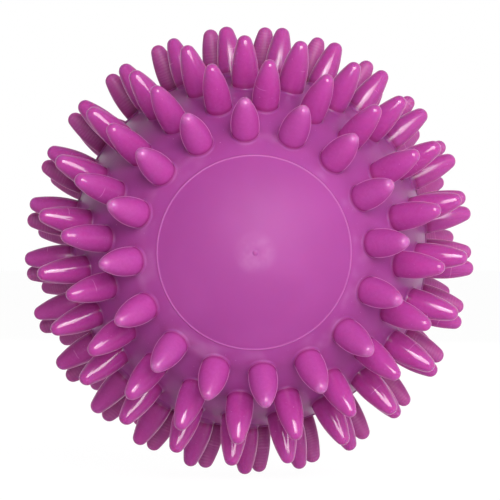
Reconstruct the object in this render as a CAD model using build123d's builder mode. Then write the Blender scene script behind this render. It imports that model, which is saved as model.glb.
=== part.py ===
from build123d import *
import os
from math import asin, atan2, cos, degrees, pi, radians, sin

# Spiky massage ball: two moulded half shells bonded at the equator, and the plug of the air valve.
# The origin is the centre of the ball. The pole axis lies along Y: the plain moulded cap faces -Y,
# the valve faces +Y, and +Z is up. Lengths are in millimetres and angles in degrees.

# ---- Driving dimensions ----
wall_radius = 35.4  # centre to the outside of the wall
wall_thickness = 3.0

# Each half carries four rings of spikes. Colatitude is measured from the half's own pole.
# The spikes stand square to the wall, but the tips of those beside the seam lean towards it.
ring_counts = (16, 20, 23, 25)
ring_foot_colatitudes = (41.3, 54.5, 68.0, 83.2)
ring_tip_colatitudes = (41.3, 54.5, 68.0, 86.0)
ring_tip_distances = (45.15, 46.0, 45.85, 45.1)  # centre of the ball to the spike tips
ring_belly_radii = (2.9, 2.72, 2.7, 2.55)
ring_tip_radii = (1.3, 1.4, 1.5, 1.5)
belly_height = 2.0  # a spike is widest a little above the wall
spike_root_depth = 1.0  # how far a spike reaches into the wall
foot_fillet = 0.5

# One spike of every ring lies on the half's common meridian. The two halves were bonded at
# unrelated turns about the pole axis. Both turns are clockwise from +Z, seen from the front.
front_meridian = 310.9
rear_meridian = 133.9

cap_line_colatitude = 32.3  # fine raised line around each smooth cap
cap_line_half_width = 0.3
cap_line_height = 0.12
seam_half_width = 0.6  # raised bead where the halves meet
seam_height = 0.4
gate_mark_radius = 0.7  # small raised sprue mark on the plain pole
gate_mark_height = 0.2

tongue_width = 1.2  # locating rim of the bonded joint, in the middle of the wall
tongue_height = 1.2
glue_gap = 0.05  # room for adhesive on every side of the tongue

bore_radius = 1.6  # air hole through the rear pole
seat_radius = 3.6  # thickened seat around the hole, inside the ball
seat_length = 5.0
recess_radius = 3.4  # shallow recess that holds the plug's head
recess_depth = 1.2
nail_notch_radius = 1.6  # hollow beside the head, to lift it with a fingernail
overshoot = 1.0  # how far a cut runs on past the surface that it opens

head_radius = 3.2
head_fillet = 0.4
stem_clearance = 0.06  # radial running gap of the stem in the bore
stem_length = 10.5
stem_lead = 0.5

# ---- Derived dimensions ----
front = -1  # side of a half along Y
rear = 1
cavity_radius = wall_radius - wall_thickness
tongue_radius = wall_radius - wall_thickness / 2
recess_floor = wall_radius - recess_depth
seat_end = cavity_radius - seat_length
stem_end = recess_floor - stem_length


def facing(side, distance):
    """Plane square to the pole axis at a distance from the centre, facing out of one pole."""
    return Plane((0, side * distance, 0), x_dir=(1, 0, 0), z_dir=(0, side, 0))


def section_plane(side):
    """Plane through the pole axis: its local x runs across the pole and its local y out of it."""
    return Plane((0, 0, 0), x_dir=(0, 0, 1), z_dir=(-side, 0, 0))


def wall_point(distance, colatitude, turn, side):
    """Point at a distance from the centre, at an angle from one pole and a turn about it."""
    across = distance * sin(radians(colatitude))
    along = side * distance * cos(radians(colatitude))
    return Vector(across * sin(radians(turn)), along, across * cos(radians(turn)))


def ring_planes(ring, meridian, side):
    """One plane for each spike of a ring: at its foot, facing its tip, with x towards the pole."""
    planes = []
    for index in range(ring_counts[ring]):
        turn = meridian + index * 360 / ring_counts[ring]
        foot = wall_point(wall_radius, ring_foot_colatitudes[ring], turn, side)
        tip = wall_point(ring_tip_distances[ring], ring_tip_colatitudes[ring], turn, side)
        planes.append(Plane(foot, x_dir=(0, side, 0), z_dir=tip - foot))
    return planes


def spike_length(ring):
    """Distance from a spike's foot on the wall to its tip."""
    foot = wall_point(wall_radius, ring_foot_colatitudes[ring], 0, front)
    tip = wall_point(ring_tip_distances[ring], ring_tip_colatitudes[ring], 0, front)
    return (tip - foot).length


def make_spike(belly_radius, tip_radius, length):
    """One solid spike along +Z: a pointed arch turned about its axis, with a round tip."""
    tip_centre = length - tip_radius
    rise = tip_centre - belly_height
    taper = belly_radius - tip_radius
    # The side is one arc. It is widest at the belly and runs tangent into the round tip.
    arc_centre = (taper**2 - rise**2) / (2 * taper)
    arc_radius = belly_radius - arc_centre
    root_angle = degrees(asin((belly_height + spike_root_depth) / arc_radius))
    tip_angle = degrees(atan2(rise, -arc_centre))
    root_radius = arc_centre + arc_radius * cos(radians(root_angle))
    with BuildPart() as spike:
        with BuildSketch(Plane.XZ):
            with BuildLine():
                Line((0, -spike_root_depth), (root_radius, -spike_root_depth))
                CenterArc((arc_centre, belly_height), arc_radius, -root_angle, root_angle + tip_angle)
                CenterArc((0, tip_centre), tip_radius, tip_angle, 90 - tip_angle)
                Line((0, length), (0, -spike_root_depth))
            make_face()
        revolve(axis=Axis.Z)
    return spike.part


def is_spike_foot(edge):
    """True for the round edge where a spike meets the wall, by its radius."""
    around = edge.length / (2 * pi)
    return max(ring_tip_radii) < around < max(ring_belly_radii) + foot_fillet


def bead(colatitude, half_width, height):
    """Round section of a low raised line on the wall, drawn at a colatitude."""
    radius = (half_width**2 + height**2) / (2 * height)
    centre = wall_radius + height - radius
    with Locations((centre * sin(radians(colatitude)), centre * cos(radians(colatitude)))):
        Circle(radius)


def outer_form(meridian, side):
    """Solid form of one half: ball, cap line, seam bead and spikes, cut off at the equator."""
    with BuildPart() as form:
        Sphere(wall_radius)
        with BuildSketch(section_plane(side)):
            bead(cap_line_colatitude, cap_line_half_width, cap_line_height)
            bead(90, seam_half_width, seam_height)
        revolve(axis=Axis.Y)
        for ring, spike in enumerate(spikes):
            with Locations(*ring_planes(ring, meridian, side)):
                add(spike)
        fillet(form.edges().filter_by(is_spike_foot), radius=foot_fillet)
        split(bisect_by=facing(side, 0), keep=Keep.TOP)
    return form.part


ring_shapes = zip(ring_belly_radii, ring_tip_radii)
spikes = [make_spike(belly, tip, spike_length(ring)) for ring, (belly, tip) in enumerate(ring_shapes)]
front_form = outer_form(front_meridian, front)
rear_form = outer_form(rear_meridian, rear)

# Front half: the plain cap with its sprue mark, and the tongue of the bonded joint.
with BuildPart() as front_half_shell:
    add(front_form)
    with BuildSketch(section_plane(front)):
        bead(0, gate_mark_radius, gate_mark_height)
        split(bisect_by=Plane.YZ, keep=Keep.TOP)
    revolve(axis=Axis.Y)
    Sphere(cavity_radius, mode=Mode.SUBTRACT)
    with BuildSketch(facing(rear, 0)):
        Circle(tongue_radius + tongue_width / 2)
        Circle(tongue_radius - tongue_width / 2, mode=Mode.SUBTRACT)
    extrude(amount=tongue_height)

# Rear half: the same moulding with the groove, and with the valve seat at its pole.
with BuildPart() as rear_half_shell:
    add(rear_form)
    Sphere(cavity_radius, mode=Mode.SUBTRACT)
    with BuildSketch(facing(rear, 0)):
        Circle(tongue_radius + tongue_width / 2 + glue_gap)
        Circle(tongue_radius - tongue_width / 2 - glue_gap, mode=Mode.SUBTRACT)
    extrude(amount=tongue_height + glue_gap, mode=Mode.SUBTRACT)
    with BuildSketch(facing(rear, seat_end)):
        Circle(seat_radius)
    extrude(amount=seat_length + wall_thickness / 2)
    with Locations(facing(rear, wall_radius)):
        with Locations((0, -recess_radius)):
            Sphere(nail_notch_radius, mode=Mode.SUBTRACT)
    with BuildSketch(facing(rear, recess_floor)):
        Circle(recess_radius)
    extrude(amount=recess_depth + overshoot, mode=Mode.SUBTRACT)
    with BuildSketch(facing(rear, seat_end)):
        Circle(bore_radius)
    extrude(amount=seat_length + wall_thickness + overshoot, mode=Mode.SUBTRACT)

# Valve plug: a domed head that lies flush with the cap, and a stem that fills the air hole.
with BuildPart() as valve_plug:
    with BuildSketch(facing(rear, recess_floor)):
        Circle(head_radius)
    extrude(amount=recess_depth)
    Sphere(wall_radius, mode=Mode.INTERSECT)
    fillet(valve_plug.edges().group_by(Axis.Y)[-1], radius=head_fillet)
    with BuildSketch(facing(rear, stem_end)):
        Circle(bore_radius - stem_clearance)
    extrude(amount=stem_length)
    chamfer(valve_plug.edges().group_by(Axis.Y)[0], length=stem_lead)

front_half_shell.part.label = "front_half_shell"
rear_half_shell.part.label = "rear_half_shell"
valve_plug.part.label = "valve_plug"

os.makedirs("parts", exist_ok=True)
export_step(front_half_shell.part, "parts/front_half_shell.step")
export_step(rear_half_shell.part, "parts/rear_half_shell.step")
export_step(valve_plug.part, "parts/valve_plug.step")
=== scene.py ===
from math import atan2, cos, pi, radians, sin, sqrt, tan

import bmesh
import bpy
import numpy as np
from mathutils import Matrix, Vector
from mathutils.geometry import delaunay_2d_cdt


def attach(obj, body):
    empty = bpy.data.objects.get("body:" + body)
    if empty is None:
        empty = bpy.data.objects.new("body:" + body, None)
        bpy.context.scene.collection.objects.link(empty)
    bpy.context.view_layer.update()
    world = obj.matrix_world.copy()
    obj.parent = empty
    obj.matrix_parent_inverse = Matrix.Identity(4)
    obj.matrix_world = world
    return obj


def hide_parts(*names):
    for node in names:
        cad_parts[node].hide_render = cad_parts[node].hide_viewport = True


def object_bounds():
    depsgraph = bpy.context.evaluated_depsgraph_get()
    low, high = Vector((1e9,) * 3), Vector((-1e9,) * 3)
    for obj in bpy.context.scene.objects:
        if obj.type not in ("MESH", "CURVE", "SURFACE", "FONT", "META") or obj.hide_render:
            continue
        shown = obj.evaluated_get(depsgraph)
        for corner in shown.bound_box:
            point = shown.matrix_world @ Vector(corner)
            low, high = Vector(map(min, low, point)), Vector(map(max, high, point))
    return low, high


# Spiky massage ball. Two soft vinyl half shells are built here as closed meshes and stand for the
# CAD shells. The valve plug is the CAD part itself with a new material.
# Shapes are worked out in millimetres in a half's own frame: its pole along +Z, turn 0 along +X.
# They are turned into the row frame, in metres, when a half's mesh is made.

MM = 0.001
rng = np.random.default_rng(20)

# ---- The ball, as the CAD model has it (millimetres and degrees) ----
WALL_RADIUS = 35.4
WALL_THICKNESS = 3.0
CAVITY_RADIUS = WALL_RADIUS - WALL_THICKNESS
RING_COUNTS = (16, 20, 23, 25)
FOOT_COLATITUDES = (41.3, 54.5, 68.0, 83.2)
TIP_COLATITUDES = (41.3, 54.5, 68.0, 86.0)
TIP_DISTANCES = (45.15, 46.0, 45.85, 45.1)
BELLY_RADII = (2.9, 2.72, 2.7, 2.55)
TIP_RADII = (1.3, 1.4, 1.5, 1.5)
BELLY_HEIGHT = 2.0  # a spike is widest a little above the wall
FOOT_FILLET = 0.5
FRONT_MERIDIAN = 310.9
REAR_MERIDIAN = 133.9
CAP_LINE = 32.3
CAP_LINE_HALF_WIDTH = 0.3
CAP_LINE_HEIGHT = 0.12
SEAM_HALF_WIDTH = 0.6
SEAM_HEIGHT = 0.4
TONGUE_RADIUS = WALL_RADIUS - WALL_THICKNESS / 2
TONGUE_WIDTH = 1.2
TONGUE_HEIGHT = 1.2
GLUE_GAP = 0.05
BORE_RADIUS = 1.6
SEAT_RADIUS = 3.6
SEAT_END = CAVITY_RADIUS - 5.0
RECESS_RADIUS = 3.4
RECESS_FLOOR = WALL_RADIUS - 1.2
NOTCH_RADIUS = 1.6

# ---- Finish of the spikes, ring by ring: tone 0 is deep and 1 is pale, gloss 0 is frosted ----
FRONT_TONES = (0.80, 0.55, 0.50, 0.50)
FRONT_GLOSSES = (0.72, 0.98, 0.84, 0.68)
REAR_TONE = 0.2
REAR_GLOSS = 0.12

# ---- How much the spikes differ from each other (millimetres, degrees and shares) ----
REACH_SPREAD = 0.06
COLATITUDE_SPREAD = 0.1
TURN_SPREAD = 0.12
BELLY_SPREAD = 0.01
TIP_SPREAD = 0.03
BEND_SPREAD = 0.05
OVAL_SPREAD = 0.012
TONE_SPREAD = 0.12
GLOSS_SPREAD = 0.05

# ---- Colours of the vinyl ----
WALL_DEEP = (0.315, 0.043, 0.250, 1)
WALL_PALE = (0.338, 0.050, 0.270, 1)
WALL_PALE_PATCH = (0.52, 0.20, 0.46, 1)  # painted sheen round the sprue mark, and paler patches beside the cap
WALL_LIMB = (0.50, 0.30, 0.46, 1)  # sheen of the wall seen edge on
# painted highlight along the crest of the fine line round the cap
CAP_LINE_HIGHLIGHT = (0.75, 0.34, 0.66, 1)
CAP_LINE_SHARE = 0.8472  # height of the line's crest along the pole, in wall radii
SPIKE_DEEP = (0.425, 0.031, 0.260, 1)
SPIKE_PALE = (0.375, 0.052, 0.285, 1)
SPIKE_MOTTLE = (0.50, 0.075, 0.37, 1)
SPIKE_TIP = (0.56, 0.14, 0.45, 1)
SPIKE_RIM_SHEEN = (0.95, 0.30, 0.72, 1)  # painted pale rim reflection along a spike's outline
EDGE_GLOW = (0.95, 0.42, 0.80, 1)  # backdrop light that passes through that edge
FROST = (0.60, 0.22, 0.52, 1)
RIB_TROUGH = (0.33, 0.09, 0.25, 1)
RIB_CREST = (0.50, 0.14, 0.37, 1)
FLOW_LINE = (0.72, 0.24, 0.58, 1)
SPECK = (0.75, 0.35, 0.65, 1)
# painted shade for the crevices and the feet of the spikes
CREVICE_SHADE = (0.17, 0.002, 0.06, 1)

# ---- Fineness of the meshes ----
SEGMENTS = 240  # round the pole
COLUMNS = 36  # round one spike
FILLET_ROWS = 6
SIDE_ROWS = 22
TIP_ROWS = 8
CONTACT_STEPS = 8  # rounds that settle a fillet row on the wall
WALL_STEP = 1.0  # between points of the open wall, in millimetres
PATCH_START = 34.2  # colatitude where the smooth pole ends and the spiked wall starts
PATCH_END = 88.55  # colatitude where the seam bead starts

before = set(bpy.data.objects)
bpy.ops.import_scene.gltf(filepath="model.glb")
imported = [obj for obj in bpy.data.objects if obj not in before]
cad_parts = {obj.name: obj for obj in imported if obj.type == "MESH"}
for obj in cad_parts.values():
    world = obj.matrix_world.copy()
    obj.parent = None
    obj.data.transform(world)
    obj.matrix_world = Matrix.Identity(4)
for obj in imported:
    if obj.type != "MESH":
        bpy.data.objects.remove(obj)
cad_low, cad_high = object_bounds()


# ---- Mesh building ----
class Skin:
    """The points, faces and painted values of one piece while it is being built."""

    def __init__(self):
        self.points = np.zeros((0, 3))
        self.local = np.zeros((0, 3))  # place on the point's own spike, zero on the wall
        self.paint = np.zeros((0, 2))  # tone and gloss of the point's own spike
        self.faces = []

    def add(self, points, local=None, paint=(0, 0)):
        """Adds points and returns their numbers. local is a point's place on its own spike."""
        start = len(self.points)
        count = len(points)
        self.points = np.vstack([self.points, points])
        self.local = np.vstack([self.local, np.zeros((count, 3)) if local is None else local])
        self.paint = np.vstack([self.paint, np.tile(paint, (count, 1))])
        return np.arange(start, start + count)

    def bridge(self, row, following):
        """Joins two closed rows of the same length with quads."""
        after = np.roll(row, -1)
        above = np.roll(following, -1)
        self.faces += np.stack([row, after, above, following], 1).tolist()

    def close(self, row, point):
        """Joins a closed row to one point."""
        self.faces += [[a, b, point] for a, b in zip(row.tolist(), np.roll(row, -1).tolist())]


def on_sphere(distance, colatitude, turn):
    """Points at a distance from the centre, at an angle from the pole and a turn about it."""
    colatitude, turn = np.radians(colatitude), np.radians(turn)
    across = distance * np.sin(colatitude)
    along = distance * np.cos(colatitude) + 0 * turn
    return np.stack([across * np.cos(turn), across * np.sin(turn), along], -1)


def revolve(skin, profile):
    """Turns (radius, height) points about the pole and returns the rows, joined to each other."""
    turn = 2 * pi * np.arange(SEGMENTS) / SEGMENTS
    rows = []
    for radius, height in profile:
        ring = np.stack([radius * np.cos(turn), radius * np.sin(turn), 0 * turn + height], 1)
        rows.append(skin.add(ring))
        if len(rows) > 1:
            skin.bridge(rows[-2], rows[-1])
    return rows


def arc(centre, radius, start, end, steps):
    """Points of an arc of a profile, from one angle to another, in degrees."""
    angles = np.radians(np.linspace(start, end, steps + 1))
    return [(centre[0] + radius * cos(a), centre[1] + radius * sin(a)) for a in angles]


def dome(distance, start, end, steps):
    """Points of a profile along a sphere about the centre, from one colatitude to another."""
    angles = np.radians(np.linspace(start, end, steps + 1))
    return [(distance * sin(a), distance * cos(a)) for a in angles]


# ---- Spikes ----
class Spike:
    """One spike of a half: where it stands, and how it differs a little from its neighbours."""

    def __init__(self, ring, turn, is_front):
        self.foot = on_sphere(WALL_RADIUS, FOOT_COLATITUDES[ring], turn)
        reach = TIP_DISTANCES[ring] + rng.normal(0, REACH_SPREAD)
        tip_colatitude = TIP_COLATITUDES[ring] + rng.normal(0, COLATITUDE_SPREAD)
        tip = on_sphere(reach, tip_colatitude, turn + rng.normal(0, TURN_SPREAD))
        self.length = float(np.linalg.norm(tip - self.foot))
        self.axis = (tip - self.foot) / self.length
        pole = np.array([0.0, 0.0, 1.0])
        self.across = np.cross(self.axis, pole)
        self.across /= np.linalg.norm(self.across)
        self.up = np.cross(self.across, self.axis)
        self.belly_radius = BELLY_RADII[ring] * (1 + rng.normal(0, BELLY_SPREAD))
        self.tip_radius = TIP_RADII[ring] * (1 + rng.normal(0, TIP_SPREAD))
        self.bend = rng.normal(0, BEND_SPREAD, 2)
        self.oval = rng.normal(0, OVAL_SPREAD)
        self.oval_turn = rng.uniform(0, pi)
        ring_tone = FRONT_TONES[ring] if is_front else REAR_TONE
        ring_gloss = FRONT_GLOSSES[ring] if is_front else REAR_GLOSS
        tone = ring_tone + rng.uniform(-TONE_SPREAD, TONE_SPREAD)
        gloss = ring_gloss + rng.uniform(-GLOSS_SPREAD, GLOSS_SPREAD)
        self.paint = (tone, gloss)

    def build(self, skin):
        """Adds the spike, from its foot fillet on the wall to its tip. Returns its edge loop."""
        rise = self.length - self.tip_radius - BELLY_HEIGHT
        taper = self.belly_radius - self.tip_radius
        arc_centre = (taper**2 - rise**2) / (2 * taper)
        side_arc = self.belly_radius - arc_centre
        tip_start = atan2(rise, -arc_centre)
        tip_centre = self.length - self.tip_radius
        around = 2 * pi * np.arange(COLUMNS) / COLUMNS
        outwards = np.outer(np.cos(around), self.up) + np.outer(np.sin(around), self.across)

        def side_radius(height):
            return arc_centre + np.sqrt(side_arc**2 - (height - BELLY_HEIGHT) ** 2)

        def height_above_wall(radius, clearance):
            base = self.foot + radius[:, None] * outwards
            along = base @ self.axis
            return np.sqrt(along**2 - (base**2).sum(1) + (WALL_RADIUS + clearance) ** 2) - along

        sections = []
        for step in range(FILLET_ROWS + 1):
            roll = pi / 2 * (1 - step / FILLET_ROWS)
            off_wall = FOOT_FILLET * (1 - sin(roll))
            off_side = FOOT_FILLET * (1 - cos(roll))
            height = np.full(COLUMNS, off_wall)
            for _ in range(CONTACT_STEPS):
                radius = side_radius(height) + off_side
                height = height_above_wall(radius, off_wall)
            sections.append((radius, height))
        tip_tangent = tip_centre + self.tip_radius * sin(tip_start)
        for step in range(1, SIDE_ROWS + 1):
            height = sections[FILLET_ROWS][1]
            height = height + (tip_tangent - height) * step / SIDE_ROWS
            sections.append((side_radius(height), height))
        for step in range(1, TIP_ROWS):
            angle = tip_start + (pi / 2 - tip_start) * step / TIP_ROWS
            radius = np.full(COLUMNS, self.tip_radius * cos(angle))
            sections.append((radius, np.full(COLUMNS, tip_centre + self.tip_radius * sin(angle))))

        rows = []
        for radius, height in sections:
            rows.append(self.add_row(skin, radius, height, around, outwards))
            if len(rows) > 1:
                skin.bridge(rows[-2], rows[-1])
        one = np.zeros(1)
        tip = self.add_row(skin, one, one + self.length, one, self.up[None, :])
        skin.close(rows[-1], int(tip[0]))
        return rows[0]

    def add_row(self, skin, radius, height, around, outwards):
        """Adds one row of points round the spike, bent and flattened a little towards the tip."""
        share = np.clip(height / self.length, 0, 1)
        lean = share**2
        radius = radius * (1 + self.oval * np.cos(2 * (around - self.oval_turn)) * np.sqrt(lean))
        bend = self.bend[0] * self.up + self.bend[1] * self.across
        points = self.foot + radius[:, None] * outwards + height[:, None] * self.axis
        points = points + lean[:, None] * bend
        local = np.stack([radius * np.cos(around), radius * np.sin(around), height], 1)
        return skin.add(points, local, self.paint)


def make_spikes(meridian, is_front):
    """All spikes of a half, ring by ring from its pole."""
    spikes = []
    for ring, count in enumerate(RING_COUNTS):
        for index in range(count):
            spikes.append(Spike(ring, meridian + index * 360 / count, is_front))
    return spikes


# ---- The open wall between the spikes ----
def flat(points):
    """Projects points of the wall onto a plane from the far pole, which keeps round feet round."""
    return points[:, :2] / (1 + points[:, 2:3] / WALL_RADIUS)


def wall_points(spikes):
    """Evenly spread points of the open wall, clear of the feet of the spikes."""
    feet = np.array([spike.foot for spike in spikes])
    reach = np.array([spike.belly_radius + FOOT_FILLET + 0.4 * WALL_STEP for spike in spikes])
    step = WALL_STEP / WALL_RADIUS * 180 / pi
    count = round((PATCH_END - PATCH_START) / step)
    points = []
    for row in range(1, count):
        colatitude = PATCH_START + (PATCH_END - PATCH_START) * row / count
        around = round(2 * pi * WALL_RADIUS * sin(radians(colatitude)) / WALL_STEP)
        turn = 360 * (np.arange(around) + 0.5 * (row % 2)) / around
        points.append(on_sphere(WALL_RADIUS, colatitude, turn))
    points = np.vstack(points)
    gaps = np.linalg.norm(points[:, None, :] - feet[None, :, :], axis=2)
    return points[(gaps > reach).all(1)]


def fill_wall(skin, spikes, inner, outer):
    """Fills the wall between two rows round the pole, leaving out the feet of the spikes."""
    loops = [inner, outer] + [spike.build(skin) for spike in spikes]
    loose = skin.add(wall_points(spikes))
    numbers = np.concatenate(loops + [loose])
    owner = [np.full(len(loop), k) for k, loop in enumerate(loops)] + [np.full(len(loose), -1)]
    owner = np.concatenate(owner)
    edges = []
    start = 0
    for loop in loops:
        edges += [(start + k, start + (k + 1) % len(loop)) for k in range(len(loop))]
        start += len(loop)
    plan = [Vector(p) for p in flat(skin.points[numbers]).tolist()]
    made = delaunay_2d_cdt(plan, edges, [], 0, 1e-7, True)
    source = [origin[0] for origin in made[3]]
    for face in made[2]:
        corners = [source[k] for k in face]
        owners = {int(owner[k]) for k in corners}
        inside_hole = len(owners) == 1 and owners.isdisjoint({-1, 1})
        if not inside_hole:
            skin.faces.append([int(numbers[k]) for k in corners])


# ---- The two halves ----
def cap_profile(start):
    """The smooth cap from a colatitude out to the spiked wall, with its fine raised line."""
    ridge = (CAP_LINE_HALF_WIDTH**2 + CAP_LINE_HEIGHT**2) / (2 * CAP_LINE_HEIGHT)
    width = CAP_LINE_HALF_WIDTH / WALL_RADIUS * 180 / pi
    profile = dome(WALL_RADIUS, start, CAP_LINE - 1.6 * width, 20)
    for share in np.linspace(-1.3, 1.3, 14):
        lift = CAP_LINE_HEIGHT * np.exp(-(share / 0.55) ** 2)
        profile += dome(WALL_RADIUS + lift, CAP_LINE + share * width, CAP_LINE + share * width, 0)
    return profile + dome(WALL_RADIUS, CAP_LINE + 1.6 * width, PATCH_START, 2)


def seam_profile():
    """The bead beside the seam, from the spiked wall to the parting plane."""
    radius = (SEAM_HALF_WIDTH**2 + SEAM_HEIGHT**2) / (2 * SEAM_HEIGHT)
    centre = WALL_RADIUS + SEAM_HEIGHT - radius
    foot = atan2(SEAM_HALF_WIDTH * 0.9, radius) * 180 / pi
    lip = 0.12
    profile = dome(WALL_RADIUS, PATCH_END, PATCH_END + 0.35, 2)
    profile += arc((centre, 0), radius, 56, 14, 8)
    profile += arc((centre + radius - 0.02 - lip, lip), lip, 45, -60, 4)
    return profile


def make_front():
    """The plain half: smooth cap with its gate mark, spiked wall, seam bead and tongue."""
    skin = Skin()
    rows = revolve(skin, gate_profile() + cap_profile(3.0))
    pole = skin.add(np.array([[0.0, 0.0, WALL_RADIUS + 0.13]]))
    skin.close(rows[0], int(pole[0]))
    tongue_in = TONGUE_RADIUS - TONGUE_WIDTH / 2
    tongue_out = TONGUE_RADIUS + TONGUE_WIDTH / 2
    closing = seam_profile()
    closing += [(tongue_out + 0.05, 0.0), (tongue_out, -0.05), (tongue_out, -TONGUE_HEIGHT + 0.1)]
    closing += [(tongue_out - 0.1, -TONGUE_HEIGHT), (tongue_in + 0.1, -TONGUE_HEIGHT)]
    closing += [(tongue_in, -TONGUE_HEIGHT + 0.1), (tongue_in, -0.05), (tongue_in - 0.05, 0.0)]
    closing += dome(CAVITY_RADIUS, 90, 2, 44)
    seam = revolve(skin, closing)
    centre = skin.add(np.array([[0.0, 0.0, CAVITY_RADIUS]]))
    skin.close(seam[-1], int(centre[0]))
    fill_wall(skin, make_spikes(FRONT_MERIDIAN, True), rows[-1], seam[0])
    return skin


def gate_profile():
    """The sprue mark on the pole: a small nub in a shallow dish."""
    profile = []
    for radius in (0.12, 0.24, 0.36, 0.46, 0.54, 0.62, 0.72, 0.86, 1.05, 1.3, 1.6):
        nub = 0.2 / (1 + np.exp((radius - 0.42) / 0.06))
        dish = -0.07 * np.exp(-(radius / 0.9) ** 4)
        profile.append((radius, sqrt(WALL_RADIUS**2 - radius**2) + nub + dish))
    return profile


def make_rear():
    """The half with the air valve: recess, bore and seat at its pole, and the groove."""
    skin = Skin()
    edge = 0.2
    lip_height = sqrt(WALL_RADIUS**2 - (RECESS_RADIUS + edge) ** 2) - edge
    groove_in = TONGUE_RADIUS - TONGUE_WIDTH / 2 - GLUE_GAP
    groove_out = TONGUE_RADIUS + TONGUE_WIDTH / 2 + GLUE_GAP
    groove_top = TONGUE_HEIGHT + GLUE_GAP
    seat_root = sqrt(CAVITY_RADIUS**2 - (SEAT_RADIUS + 0.8) ** 2)
    notch_edge = 10.0
    profile = list(reversed(cap_profile(notch_edge)))
    rim = np.degrees(np.arcsin((RECESS_RADIUS + edge) / WALL_RADIUS))
    profile += dome(WALL_RADIUS, notch_edge, rim, 26)[1:]
    profile += arc((RECESS_RADIUS + edge, lip_height), edge, 90, 180, 5)[1:]
    profile += [(RECESS_RADIUS - 0.01, RECESS_FLOOR + 0.5), (RECESS_RADIUS - 0.02, RECESS_FLOOR + 0.15)]
    profile += arc((RECESS_RADIUS - 0.17, RECESS_FLOOR + 0.15), 0.15, 0, -90, 3)[1:]
    floor_radii = np.linspace(RECESS_RADIUS - 0.3, BORE_RADIUS + 0.15, 12)
    profile += [(radius, RECESS_FLOOR) for radius in floor_radii]
    profile += [(BORE_RADIUS, RECESS_FLOOR - 0.15), (BORE_RADIUS, SEAT_END + 0.2)]
    profile += [(BORE_RADIUS + 0.2, SEAT_END), (SEAT_RADIUS - 0.4, SEAT_END)]
    profile += arc((SEAT_RADIUS - 0.4, SEAT_END + 0.4), 0.4, -90, 0, 4)[1:]
    profile += arc((SEAT_RADIUS + 0.8, seat_root - 0.8), 0.8, 180, 90, 5)
    inner = np.degrees(np.arcsin((SEAT_RADIUS + 1.4) / CAVITY_RADIUS))
    profile += dome(CAVITY_RADIUS, inner, 90, 40)
    profile += [(groove_in, 0.0), (groove_in, groove_top), (groove_out, groove_top), (groove_out, 0.0)]
    profile += list(reversed(seam_profile()))
    rows = revolve(skin, profile)
    cut_notch(skin)
    fill_wall(skin, make_spikes(REAR_MERIDIAN, False), rows[0], rows[-1])
    return skin


def cut_notch(skin):
    """Sinks the round hollow for a fingernail into the edge of the recess, at turn 0."""
    points = skin.points
    x = points[:, 0] - RECESS_RADIUS
    away = np.hypot(x, points[:, 1])
    near = (away < NOTCH_RADIUS * 1.4) & (points[:, 2] > RECESS_FLOOR - 0.01)
    drop = np.where(away < NOTCH_RADIUS, np.sqrt(np.maximum(NOTCH_RADIUS**2 - away**2, 0)), 0)
    bowl = WALL_RADIUS - drop + np.maximum(away - NOTCH_RADIUS, 0) * 2
    soft = 0.08
    lower = np.minimum(points[:, 2], bowl)
    gap = np.abs(points[:, 2] - bowl)
    blended = lower - np.maximum(soft - gap, 0) ** 2 / (4 * soft)
    points[near, 2] = blended[near]


def make_object(name, skin, side):
    """Turns a finished skin into a Blender object: its pole points along side times Y."""
    points = skin.points[:, [1, 2, 0]] * np.array([1, side, 1]) * MM
    mesh = bpy.data.meshes.new(name)
    mesh.from_pydata(points.tolist(), [], skin.faces)
    local = mesh.attributes.new("spike_place", "FLOAT_VECTOR", "POINT")
    local.data.foreach_set("vector", skin.local.astype(np.float32).ravel())
    for column, painted in enumerate(("spike_tone", "spike_gloss")):
        values = mesh.attributes.new(painted, "FLOAT", "POINT")
        values.data.foreach_set("value", skin.paint[:, column].astype(np.float32))
    work = bmesh.new()
    work.from_mesh(mesh)
    bmesh.ops.recalc_face_normals(work, faces=work.faces)
    work.to_mesh(mesh)
    work.free()
    mesh.polygons.foreach_set("use_smooth", [True] * len(mesh.polygons))
    mesh.set_sharp_from_angle(angle=radians(42))
    piece = bpy.data.objects.new(name, mesh)
    bpy.context.scene.collection.objects.link(piece)
    return piece


# ---- Materials ----
class Nodes:
    """Short forms for building a node tree."""

    def __init__(self, owner):
        owner.use_nodes = True
        self.tree = owner.node_tree
        self.bsdf = self.tree.nodes.get("Principled BSDF")

    def new(self, kind, inputs=(), **settings):
        node = self.tree.nodes.new(kind)
        for key, value in settings.items():
            setattr(node, key, value)
        for key, value in dict(inputs).items():
            self.feed(node.inputs[key], value)
        return node

    def feed(self, socket, value):
        if hasattr(value, "is_output"):
            self.tree.links.new(value, socket)
        else:
            socket.default_value = value

    def math(self, operation, *values):
        node = self.new("ShaderNodeMath", enumerate(values), operation=operation)
        return node.outputs[0]

    def noise(self, vector, scale, detail=2.0, roughness=0.5):
        inputs = {"Vector": vector, "Scale": scale, "Detail": detail, "Roughness": roughness}
        return self.new("ShaderNodeTexNoise", inputs).outputs["Fac"]

    def span(self, value, low, high, to_low=0.0, to_high=1.0):
        inputs = {0: value, 1: low, 2: high, 3: to_low, 4: to_high}
        return self.new("ShaderNodeMapRange", inputs, interpolation_type="SMOOTHSTEP").outputs[0]

    def mix_value(self, share, first, second):
        return self.new("ShaderNodeMix", {0: share, 2: first, 3: second}).outputs[0]

    def mix(self, share, first, second):
        node = self.new("ShaderNodeMix", data_type="RGBA")
        self.feed(node.inputs[0], share)
        self.feed(node.inputs[6], first)
        self.feed(node.inputs[7], second)
        return node.outputs[2]


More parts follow.
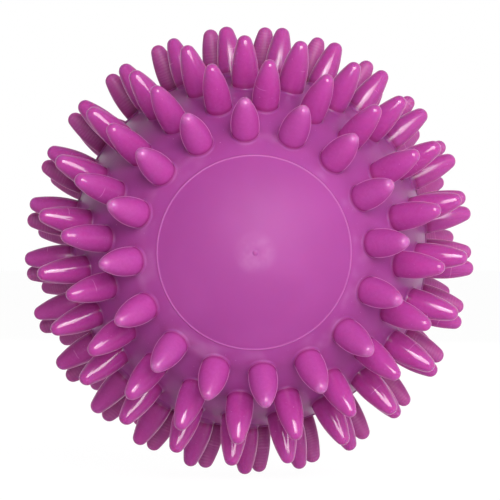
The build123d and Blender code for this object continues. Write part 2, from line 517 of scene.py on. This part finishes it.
def wall_colours(n, place, pole_share, frontness, facing):
    """Colour of the wall, with painted sheen round the sprue mark, paler patches beside the cap line, a
    painted highlight on that line and painted sheen towards its limb.
    """
    colour = n.mix(n.span(n.noise(place, 60.0), 0.35, 0.65), WALL_DEEP, WALL_PALE)
    # painted sheen: a paler, patchy spot on the cap round the sprue mark
    gate_sheen_patches = n.span(n.noise(place, 350.0), 0.3, 0.7, 0.12, 0.38)
    gate_sheen = n.math("MULTIPLY", n.span(frontness, 0.991, 0.9997), gate_sheen_patches)
    # paler patches on the wall just outside the cap line
    ring_band = n.math("MULTIPLY", n.span(pole_share, 0.845, 0.825), n.span(pole_share, 0.74, 0.78))
    ring_pale_patches = n.math("MULTIPLY", ring_band, n.span(n.noise(place, 140.0), 0.45, 0.7, 0.0, 0.4))
    colour = n.mix(n.math("MAXIMUM", gate_sheen, ring_pale_patches), colour, WALL_PALE_PATCH)
    # painted highlight along the crest of the cap line
    off_cap_line = n.math("ABSOLUTE", n.math("SUBTRACT", pole_share, CAP_LINE_SHARE))
    colour = n.mix(n.span(off_cap_line, 0.0022, 0.001, 0.0, 0.18), colour, CAP_LINE_HIGHLIGHT)
    grazing = n.span(facing, 0.62, 1.0)
    return n.mix(n.math("MULTIPLY", grazing, 0.2), colour, WALL_LIMB)


def spike_colours(n, place, tone, height, rim):
    """Colour of the spikes: frosted tips on the first ring, cross ribs on the rear half, and a painted
    pale rim reflection along their outlines.
    """
    colour = n.mix(tone, SPIKE_DEEP, SPIKE_PALE)
    mottle = n.span(n.noise(place, 1400.0, 3.0, 0.7), 0.3, 0.7, -0.12, 0.12)
    colour = n.mix(n.math("ADD", mottle, 0.12), colour, SPIKE_MOTTLE)
    colour = n.mix(n.math("MULTIPLY", n.span(height, 6.5, 10.0), 0.12), colour, SPIKE_TIP)

    frosted = n.math("MULTIPLY", n.span(tone, 0.66, 0.72), n.span(height, 8.3, 9.6))
    frost_grain = n.span(n.noise(place, 900.0, 3.0, 0.7), 0.25, 0.7, 0.1, 0.5)
    colour = n.mix(n.math("MULTIPLY", frosted, frost_grain), colour, FROST)

    ribbed = n.math("MULTIPLY", n.span(tone, 0.36, 0.32), n.span(height, 1.0, 3.0))
    wander = n.math("MULTIPLY_ADD", n.noise(place, 300.0), 0.8, height)
    rib = n.span(n.math("SINE", n.math("MULTIPLY", wander, 10.5)), -1.0, 1.0)
    rib = n.math("MULTIPLY", rib, n.span(n.noise(place, 500.0), 0.38, 0.65, 0.03, 0.42))
    colour = n.mix(n.math("MULTIPLY", ribbed, 0.22), colour, RIB_TROUGH)
    colour = n.mix(n.math("MULTIPLY", rib, ribbed), colour, RIB_CREST)

    waving = n.math("MULTIPLY_ADD", n.noise(place, 400.0), 0.6, height)
    off_line = n.math("ABSOLUTE", n.math("SUBTRACT", waving, 5.4))
    broken = n.span(n.noise(place, 170.0), 0.58, 0.63)
    flow = n.math("MULTIPLY", n.span(off_line, 0.12, 0.03, 0.0, 0.4), broken)
    flow = n.math("MULTIPLY", flow, n.span(tone, 0.68, 0.66))
    colour = n.mix(flow, colour, FLOW_LINE)
    # painted rim reflection: a pale outline where a spike turns edge on
    return n.mix(n.math("MULTIPLY", rim, 0.66), colour, SPIKE_RIM_SHEEN)


def make_vinyl():
    """Soft PVC: satin on the wall, glossy and a touch pinker on the spikes."""
    material = bpy.data.materials.new("ball_vinyl")
    n = Nodes(material)
    place = n.new("ShaderNodeTexCoord").outputs["Object"]
    spike = n.new("ShaderNodeAttribute", attribute_name="spike_place").outputs["Vector"]
    tone = n.new("ShaderNodeAttribute", attribute_name="spike_tone").outputs["Fac"]
    gloss = n.new("ShaderNodeAttribute", attribute_name="spike_gloss").outputs["Fac"]
    height = n.new("ShaderNodeSeparateXYZ", {0: spike}).outputs["Z"]
    on_spike = n.span(height, 0.0, 0.6)
    facing = n.new("ShaderNodeLayerWeight", {"Blend": 0.5}).outputs["Facing"]
    rim = n.math("MULTIPLY", n.span(facing, 0.70, 0.94), n.span(height, 0.5, 1.5))
    along_pole = n.new("ShaderNodeSeparateXYZ", {0: place}).outputs["Y"]
    frontness = n.math("DIVIDE", along_pole, -WALL_RADIUS * MM)
    pole_share = n.math("ABSOLUTE", frontness)

    wall_colour = wall_colours(n, place, pole_share, frontness, facing)
    spike_colour = spike_colours(n, place, tone, height, rim)
    colour = n.mix(on_spike, wall_colour, spike_colour)
    dust = n.span(n.noise(place, 2600.0, 1.0), 0.74, 0.80, 0.0, 0.35)
    colour = n.mix(n.math("MULTIPLY", dust, n.span(pole_share, 0.85, 0.8)), colour, SPECK)
    # painted shade: a deep wine colour in crevices, from ambient occlusion, and round the feet of the
    # spikes
    occlusion = n.new("ShaderNodeAmbientOcclusion", {"Distance": 0.0035}, samples=8).outputs["AO"]
    shade = n.math("MULTIPLY", n.span(occlusion, 0.85, 0.3, 0.0, 0.85), n.span(height, 5.0, 1.5))
    contact_shade = n.math("MULTIPLY", n.span(height, 0.0, 0.35, 0.0, 0.4), n.span(height, 1.5, 0.5))
    colour = n.mix(n.math("MAXIMUM", shade, contact_shade), colour, CREVICE_SHADE)
    n.feed(n.bsdf.inputs["Base Color"], colour)
    n.bsdf.inputs["Emission Color"].default_value = EDGE_GLOW
    glow = n.math("MULTIPLY", n.math("MULTIPLY", rim, rim), 0.28)
    n.feed(n.bsdf.inputs["Emission Strength"], glow)

    polished = n.span(pole_share, 0.75, 0.45)
    shine = n.math("MULTIPLY", on_spike, gloss)
    satin = n.math("MULTIPLY_ADD", polished, -0.2, 0.55)
    roughness = n.math("MULTIPLY_ADD", shine, -0.55, n.mix_value(on_spike, satin, 0.6))
    blotch = n.math("SUBTRACT", n.noise(place, 250.0), 0.5)
    n.feed(n.bsdf.inputs["Roughness"], n.math("MULTIPLY_ADD", blotch, 0.08, roughness))
    grain = n.noise(place, 4000.0, 3.0, 0.6)
    bump = n.new("ShaderNodeBump", {"Strength": 0.25, "Distance": 0.00002, "Height": grain})
    n.feed(n.bsdf.inputs["Normal"], bump.outputs[0])
    n.bsdf.inputs["IOR"].default_value = 1.53
    specular = n.math("MULTIPLY_ADD", shine, 0.35, n.span(polished, 0.0, 1.0, 0.3, 0.5))
    n.feed(n.bsdf.inputs["Specular IOR Level"], specular)
    n.bsdf.inputs["Subsurface Weight"].default_value = 0.4
    n.bsdf.inputs["Subsurface Radius"].default_value = (1.0, 0.2, 0.35)
    n.bsdf.inputs["Subsurface Scale"].default_value = 0.0013
    return material


def make_plug_vinyl():
    """The valve plug: a stiffer, duller vinyl, a shade darker than the ball."""
    material = bpy.data.materials.new("plug_vinyl")
    n = Nodes(material)
    place = n.new("ShaderNodeTexCoord").outputs["Object"]
    colour = n.mix(n.noise(place, 500.0), (0.38, 0.055, 0.28, 1), (0.45, 0.07, 0.33, 1))
    n.feed(n.bsdf.inputs["Base Color"], colour)
    n.feed(n.bsdf.inputs["Roughness"], n.span(n.noise(place, 1500.0), 0.3, 0.7, 0.38, 0.5))
    grain = n.noise(place, 5000.0, 3.0)
    bump = n.new("ShaderNodeBump", {"Strength": 0.3, "Distance": 0.00003, "Height": grain})
    n.feed(n.bsdf.inputs["Normal"], bump.outputs[0])
    return material


vinyl = make_vinyl()
for name, build, side in (("front_half_shell", make_front, -1), ("rear_half_shell", make_rear, 1)):
    shell = make_object(name + "_moulding", build(), side)
    shell.data.materials.append(vinyl)
    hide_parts(name)
    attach(shell, "ball")
plug_vinyl = make_plug_vinyl()
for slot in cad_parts["valve_plug"].material_slots:
    slot.material = plug_vinyl


# ---- Stage, lights and camera ----
def direction(azimuth, elevation):
    """Unit vector from the ball: azimuth 0 towards the front (-Y), 90 to the right (+X)."""
    a, e = radians(azimuth), radians(elevation)
    return Vector((sin(a) * cos(e), -cos(a) * cos(e), sin(e)))


def softbox(name, azimuth, elevation, distance, width, height, power, mirrored=True):
    """A rectangular soft light aimed at the ball. Its size is in degrees as seen from the ball."""
    data = bpy.data.lights.new(name, "AREA")
    data.shape = "RECTANGLE"
    data.size = 2 * distance * tan(radians(width) / 2)
    data.size_y = 2 * distance * tan(radians(height) / 2)
    data.energy = power
    lamp = bpy.data.objects.new(name, data)
    lamp.location = ball_centre + direction(azimuth, elevation) * distance
    aim = (ball_centre - lamp.location).to_track_quat("-Z", "Y").to_matrix().to_4x4()
    lamp.rotation_euler = aim.to_euler()
    lamp.visible_camera = False
    lamp.visible_glossy = mirrored
    bpy.context.scene.collection.objects.link(lamp)


ball_centre = (cad_low + cad_high) / 2
ball_radius = (cad_high.z - cad_low.z) / 2
FLOOR_REACH = 40  # half the width of the floor, in radii of the ball
FLOOR_GAP = 0.0005
LIGHT_DISTANCE = 0.6


def make_floor():
    """A white sweep just under the ball."""
    size = FLOOR_REACH * ball_radius
    mesh = bpy.data.meshes.new("floor")
    z = cad_low.z - FLOOR_GAP
    corners = [(-size, -size, z), (size, -size, z), (size, size, z), (-size, size, z)]
    mesh.from_pydata(corners, [], [(0, 1, 2, 3)])
    floor = bpy.data.objects.new("floor", mesh)
    floor.visible_shadow = False  # the lights below the table still reach the ball
    floor.visible_glossy = False
    bpy.context.scene.collection.objects.link(floor)
    material = bpy.data.materials.new("floor_white")
    n = Nodes(material)
    seen = n.new("ShaderNodeLightPath").outputs["Is Camera Ray"]
    n.feed(n.bsdf.inputs["Base Color"], n.mix(seen, (0.55, 0.55, 0.55, 1), (0.08, 0.08, 0.08, 1)))
    n.bsdf.inputs["Roughness"].default_value = 0.9
    n.bsdf.inputs["Specular IOR Level"].default_value = 0.0
    n.bsdf.inputs["Emission Color"].default_value = (1, 1, 1, 1)
    place = n.new("ShaderNodeTexCoord").outputs["Object"]
    along_x = n.new("ShaderNodeSeparateXYZ", {0: place}).outputs["X"]
    glow = n.span(along_x, -0.3, 0.3, 0.15, 0.4)
    n.feed(n.bsdf.inputs["Emission Strength"], n.mix_value(seen, glow, 0.96))
    mesh.materials.append(material)


def make_world():
    """White studio surround: the backdrop behind the ball is bright, the room in front is dim."""
    world = bpy.data.worlds.new("studio")
    bpy.context.scene.world = world
    n = Nodes(world)
    background = n.tree.nodes["Background"]
    way = n.new("ShaderNodeTexCoord").outputs["Generated"]
    axes = n.new("ShaderNodeSeparateXYZ", {0: way})
    backdrop = n.span(axes.outputs["Y"], 0.2, 0.9, 0.0, 0.62)
    right = n.span(axes.outputs["X"], 0.0, 1.0, 0.0, 0.3)
    top = n.span(axes.outputs["Z"], -0.3, 1.0, 0.0, 0.05)
    room = n.math("ADD", n.math("ADD", backdrop, right), n.math("ADD", top, 0.05))
    seen = n.new("ShaderNodeLightPath").outputs["Is Camera Ray"]
    n.feed(background.inputs["Strength"], n.mix_value(seen, room, 1.0))
    background.inputs["Color"].default_value = (1, 1, 1, 1)


make_floor()
make_world()
softbox("key", 10, 17, LIGHT_DISTANCE, 44, 36, 3.5)
softbox("key_core", 4, 26, LIGHT_DISTANCE, 14, 14, 0.45)
softbox("key_right", 45, 35, LIGHT_DISTANCE, 25, 25, 0.45, mirrored=False)
softbox("fill_right", 75, -25, LIGHT_DISTANCE, 60, 60, 1.6, mirrored=False)
softbox("fill_left", -65, 5, LIGHT_DISTANCE, 60, 60, 0.8, mirrored=False)
softbox("fill_back", 170, 30, LIGHT_DISTANCE, 60, 60, 1.2, mirrored=False)

CAMERA_DISTANCE = 0.9225
camera_data = bpy.data.cameras.new("camera")
camera_data.lens = 330.5
camera_data.sensor_width = 36
camera_data.shift_x = 0.0016
camera_data.shift_y = -0.0008
camera = bpy.data.objects.new("camera", camera_data)
camera.location = direction(-1.9, 1.05) * CAMERA_DISTANCE
camera.rotation_mode = "QUATERNION"
camera.rotation_quaternion = (-camera.location).to_track_quat("-Z", "Y")
bpy.context.scene.collection.objects.link(camera)
bpy.context.scene.camera = camera
bpy.context.scene.view_settings.view_transform = "Standard"
